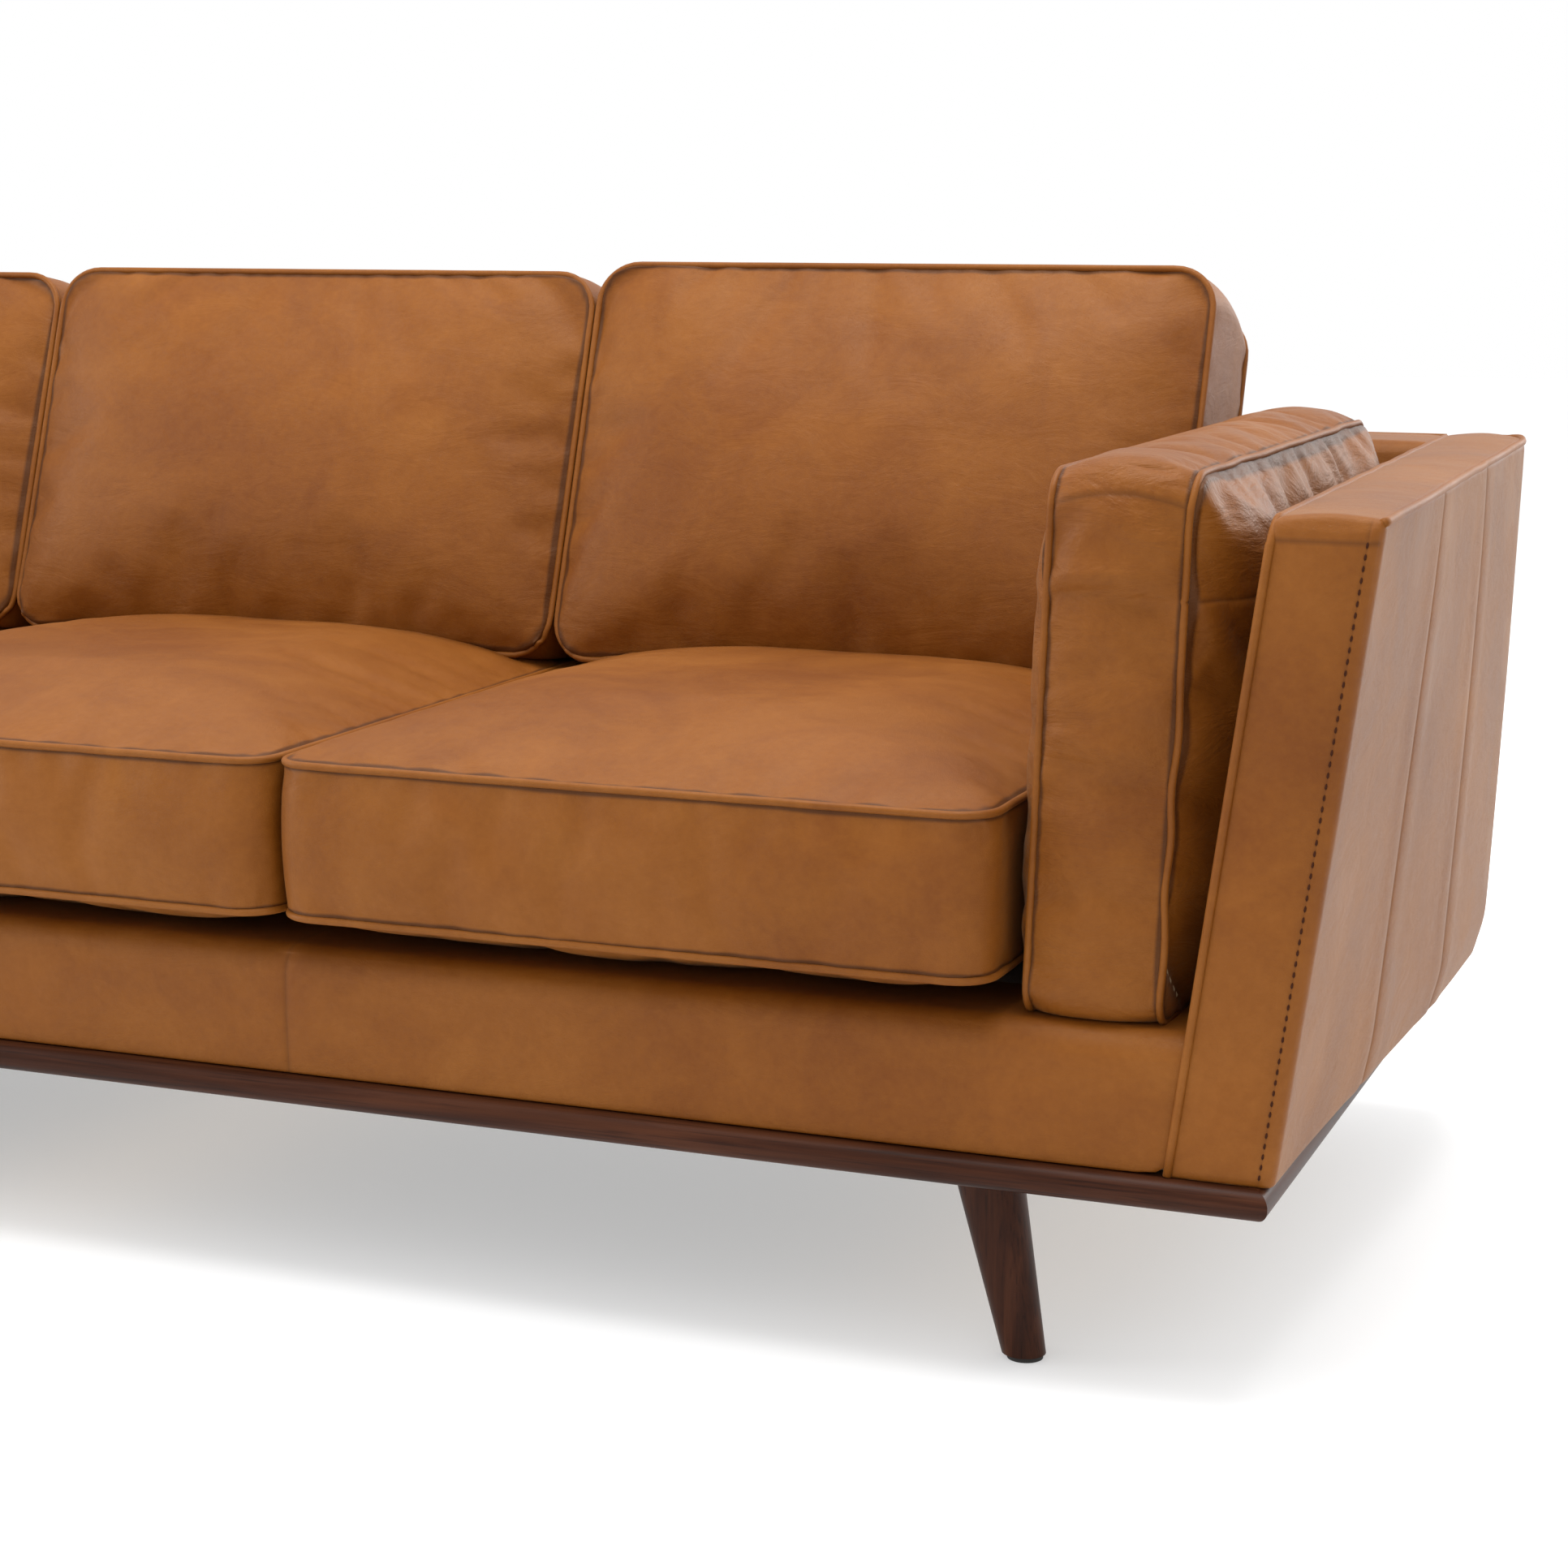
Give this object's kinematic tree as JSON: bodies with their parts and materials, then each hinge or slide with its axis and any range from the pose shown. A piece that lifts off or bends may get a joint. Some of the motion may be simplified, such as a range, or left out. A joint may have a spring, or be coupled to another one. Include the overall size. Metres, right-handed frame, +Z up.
{
  "type": "three-seat sofa",
  "caption": "Leather sofa with loose seat and back cushions, outward-leaning arms with bolsters, and a walnut plinth on splayed tapered legs.",
  "frame": {"origin": "on the floor, under the middle of the sofa's box", "axes": "+X to the right of someone facing the sofa, +Y to its back, +Z up"},
  "size_m": [2.334, 0.888, 0.8157],
  "materials": {
    "leather": "tan semi-aniline leather, soft satin gloss, welted seams",
    "walnut": "dark walnut stain, satin lacquer",
    "frame_wood": "planed hardwood, unfinished",
    "foam": "upholstery foam under a thin fibre wrap",
    "steel": "zinc-plated",
    "webbing": "woven elastic webbing",
    "black_cloth": "black nonwoven cloth",
    "glide": "moulded black glide"
  },
  "bodies": {
    "frame": {"front_rail": "frame_wood", "rear_rail": "frame_wood", "side_rail_left": "frame_wood", "side_rail_right": "frame_wood", "seat_stretchers": "frame_wood", "corner_blocks": "frame_wood", "leg_board_left": "frame_wood", "leg_board_middle": "frame_wood", "leg_board_right": "frame_wood", "arm_posts_left": "frame_wood", "arm_rails_left": "frame_wood", "arm_posts_right": "frame_wood", "arm_rails_right": "frame_wood", "back_ribs": "frame_wood", "back_top_rail": "frame_wood", "seat_springs": "steel", "spring_clips": "steel", "back_webbing": "webbing", "front_rail_pad": "foam", "arm_pad_left": "foam", "arm_pad_right": "foam", "back_pad": "foam", "deck_pad": "foam", "deck_cloth": "black_cloth", "front_rail_cover": "leather", "arm_cover_left": "leather", "arm_cover_right": "leather", "back_cover": "leather", "outside_back": "leather", "dust_cover": "black_cloth", "plinth_front": "walnut", "plinth_rear": "walnut", "plinth_left": "walnut", "plinth_right": "walnut", "leg_front_left": "walnut", "leg_front_right": "walnut", "leg_rear_left": "walnut", "leg_rear_right": "walnut", "leg_centre": "walnut", "leg_plates": "steel", "leg_bolts": "steel", "plate_screws": "steel", "foot_glides": "glide", "frame_bolts": "steel"},
    "seat_cushion_left": {"seat_cover_left": "leather", "seat_foam_left": "foam"},
    "back_cushion_left": {"back_cushion_cover_left": "leather", "back_cushion_fill_left": "foam"},
    "seat_cushion_middle": {"seat_cover_middle": "leather", "seat_foam_middle": "foam"},
    "back_cushion_middle": {"back_cushion_cover_middle": "leather", "back_cushion_fill_middle": "foam"},
    "seat_cushion_right": {"seat_cover_right": "leather", "seat_foam_right": "foam"},
    "back_cushion_right": {"back_cushion_cover_right": "leather", "back_cushion_fill_right": "foam"},
    "bolster_left": {"bolster_cover_left": "leather", "bolster_fill_left": "foam"},
    "bolster_right": {"bolster_cover_right": "leather", "bolster_fill_right": "foam"}
  },
  "joints": [
    {"name": "seat_left_lift", "type": "slide", "parent": "frame", "child": "seat_cushion_left", "axis": [0, 0, 1], "range_m": [0, 0.25]},
    {"name": "back_left_lift", "type": "slide", "parent": "seat_cushion_left", "child": "back_cushion_left", "axis": [0, 0, 1], "range_m": [0, 0.3]},
    {"name": "seat_middle_lift", "type": "slide", "parent": "frame", "child": "seat_cushion_middle", "axis": [0, 0, 1], "range_m": [0, 0.25]},
    {"name": "back_middle_lift", "type": "slide", "parent": "seat_cushion_middle", "child": "back_cushion_middle", "axis": [0, 0, 1], "range_m": [0, 0.3]},
    {"name": "seat_right_lift", "type": "slide", "parent": "frame", "child": "seat_cushion_right", "axis": [0, 0, 1], "range_m": [0, 0.25]},
    {"name": "back_right_lift", "type": "slide", "parent": "seat_cushion_right", "child": "back_cushion_right", "axis": [0, 0, 1], "range_m": [0, 0.3]},
    {"name": "bolster_left_lift", "type": "slide", "parent": "frame", "child": "bolster_left", "axis": [0, 0, 1], "range_m": [0, 0.4]},
    {"name": "bolster_right_lift", "type": "slide", "parent": "frame", "child": "bolster_right", "axis": [0, 0, 1], "range_m": [0, 0.4]}
  ]
}
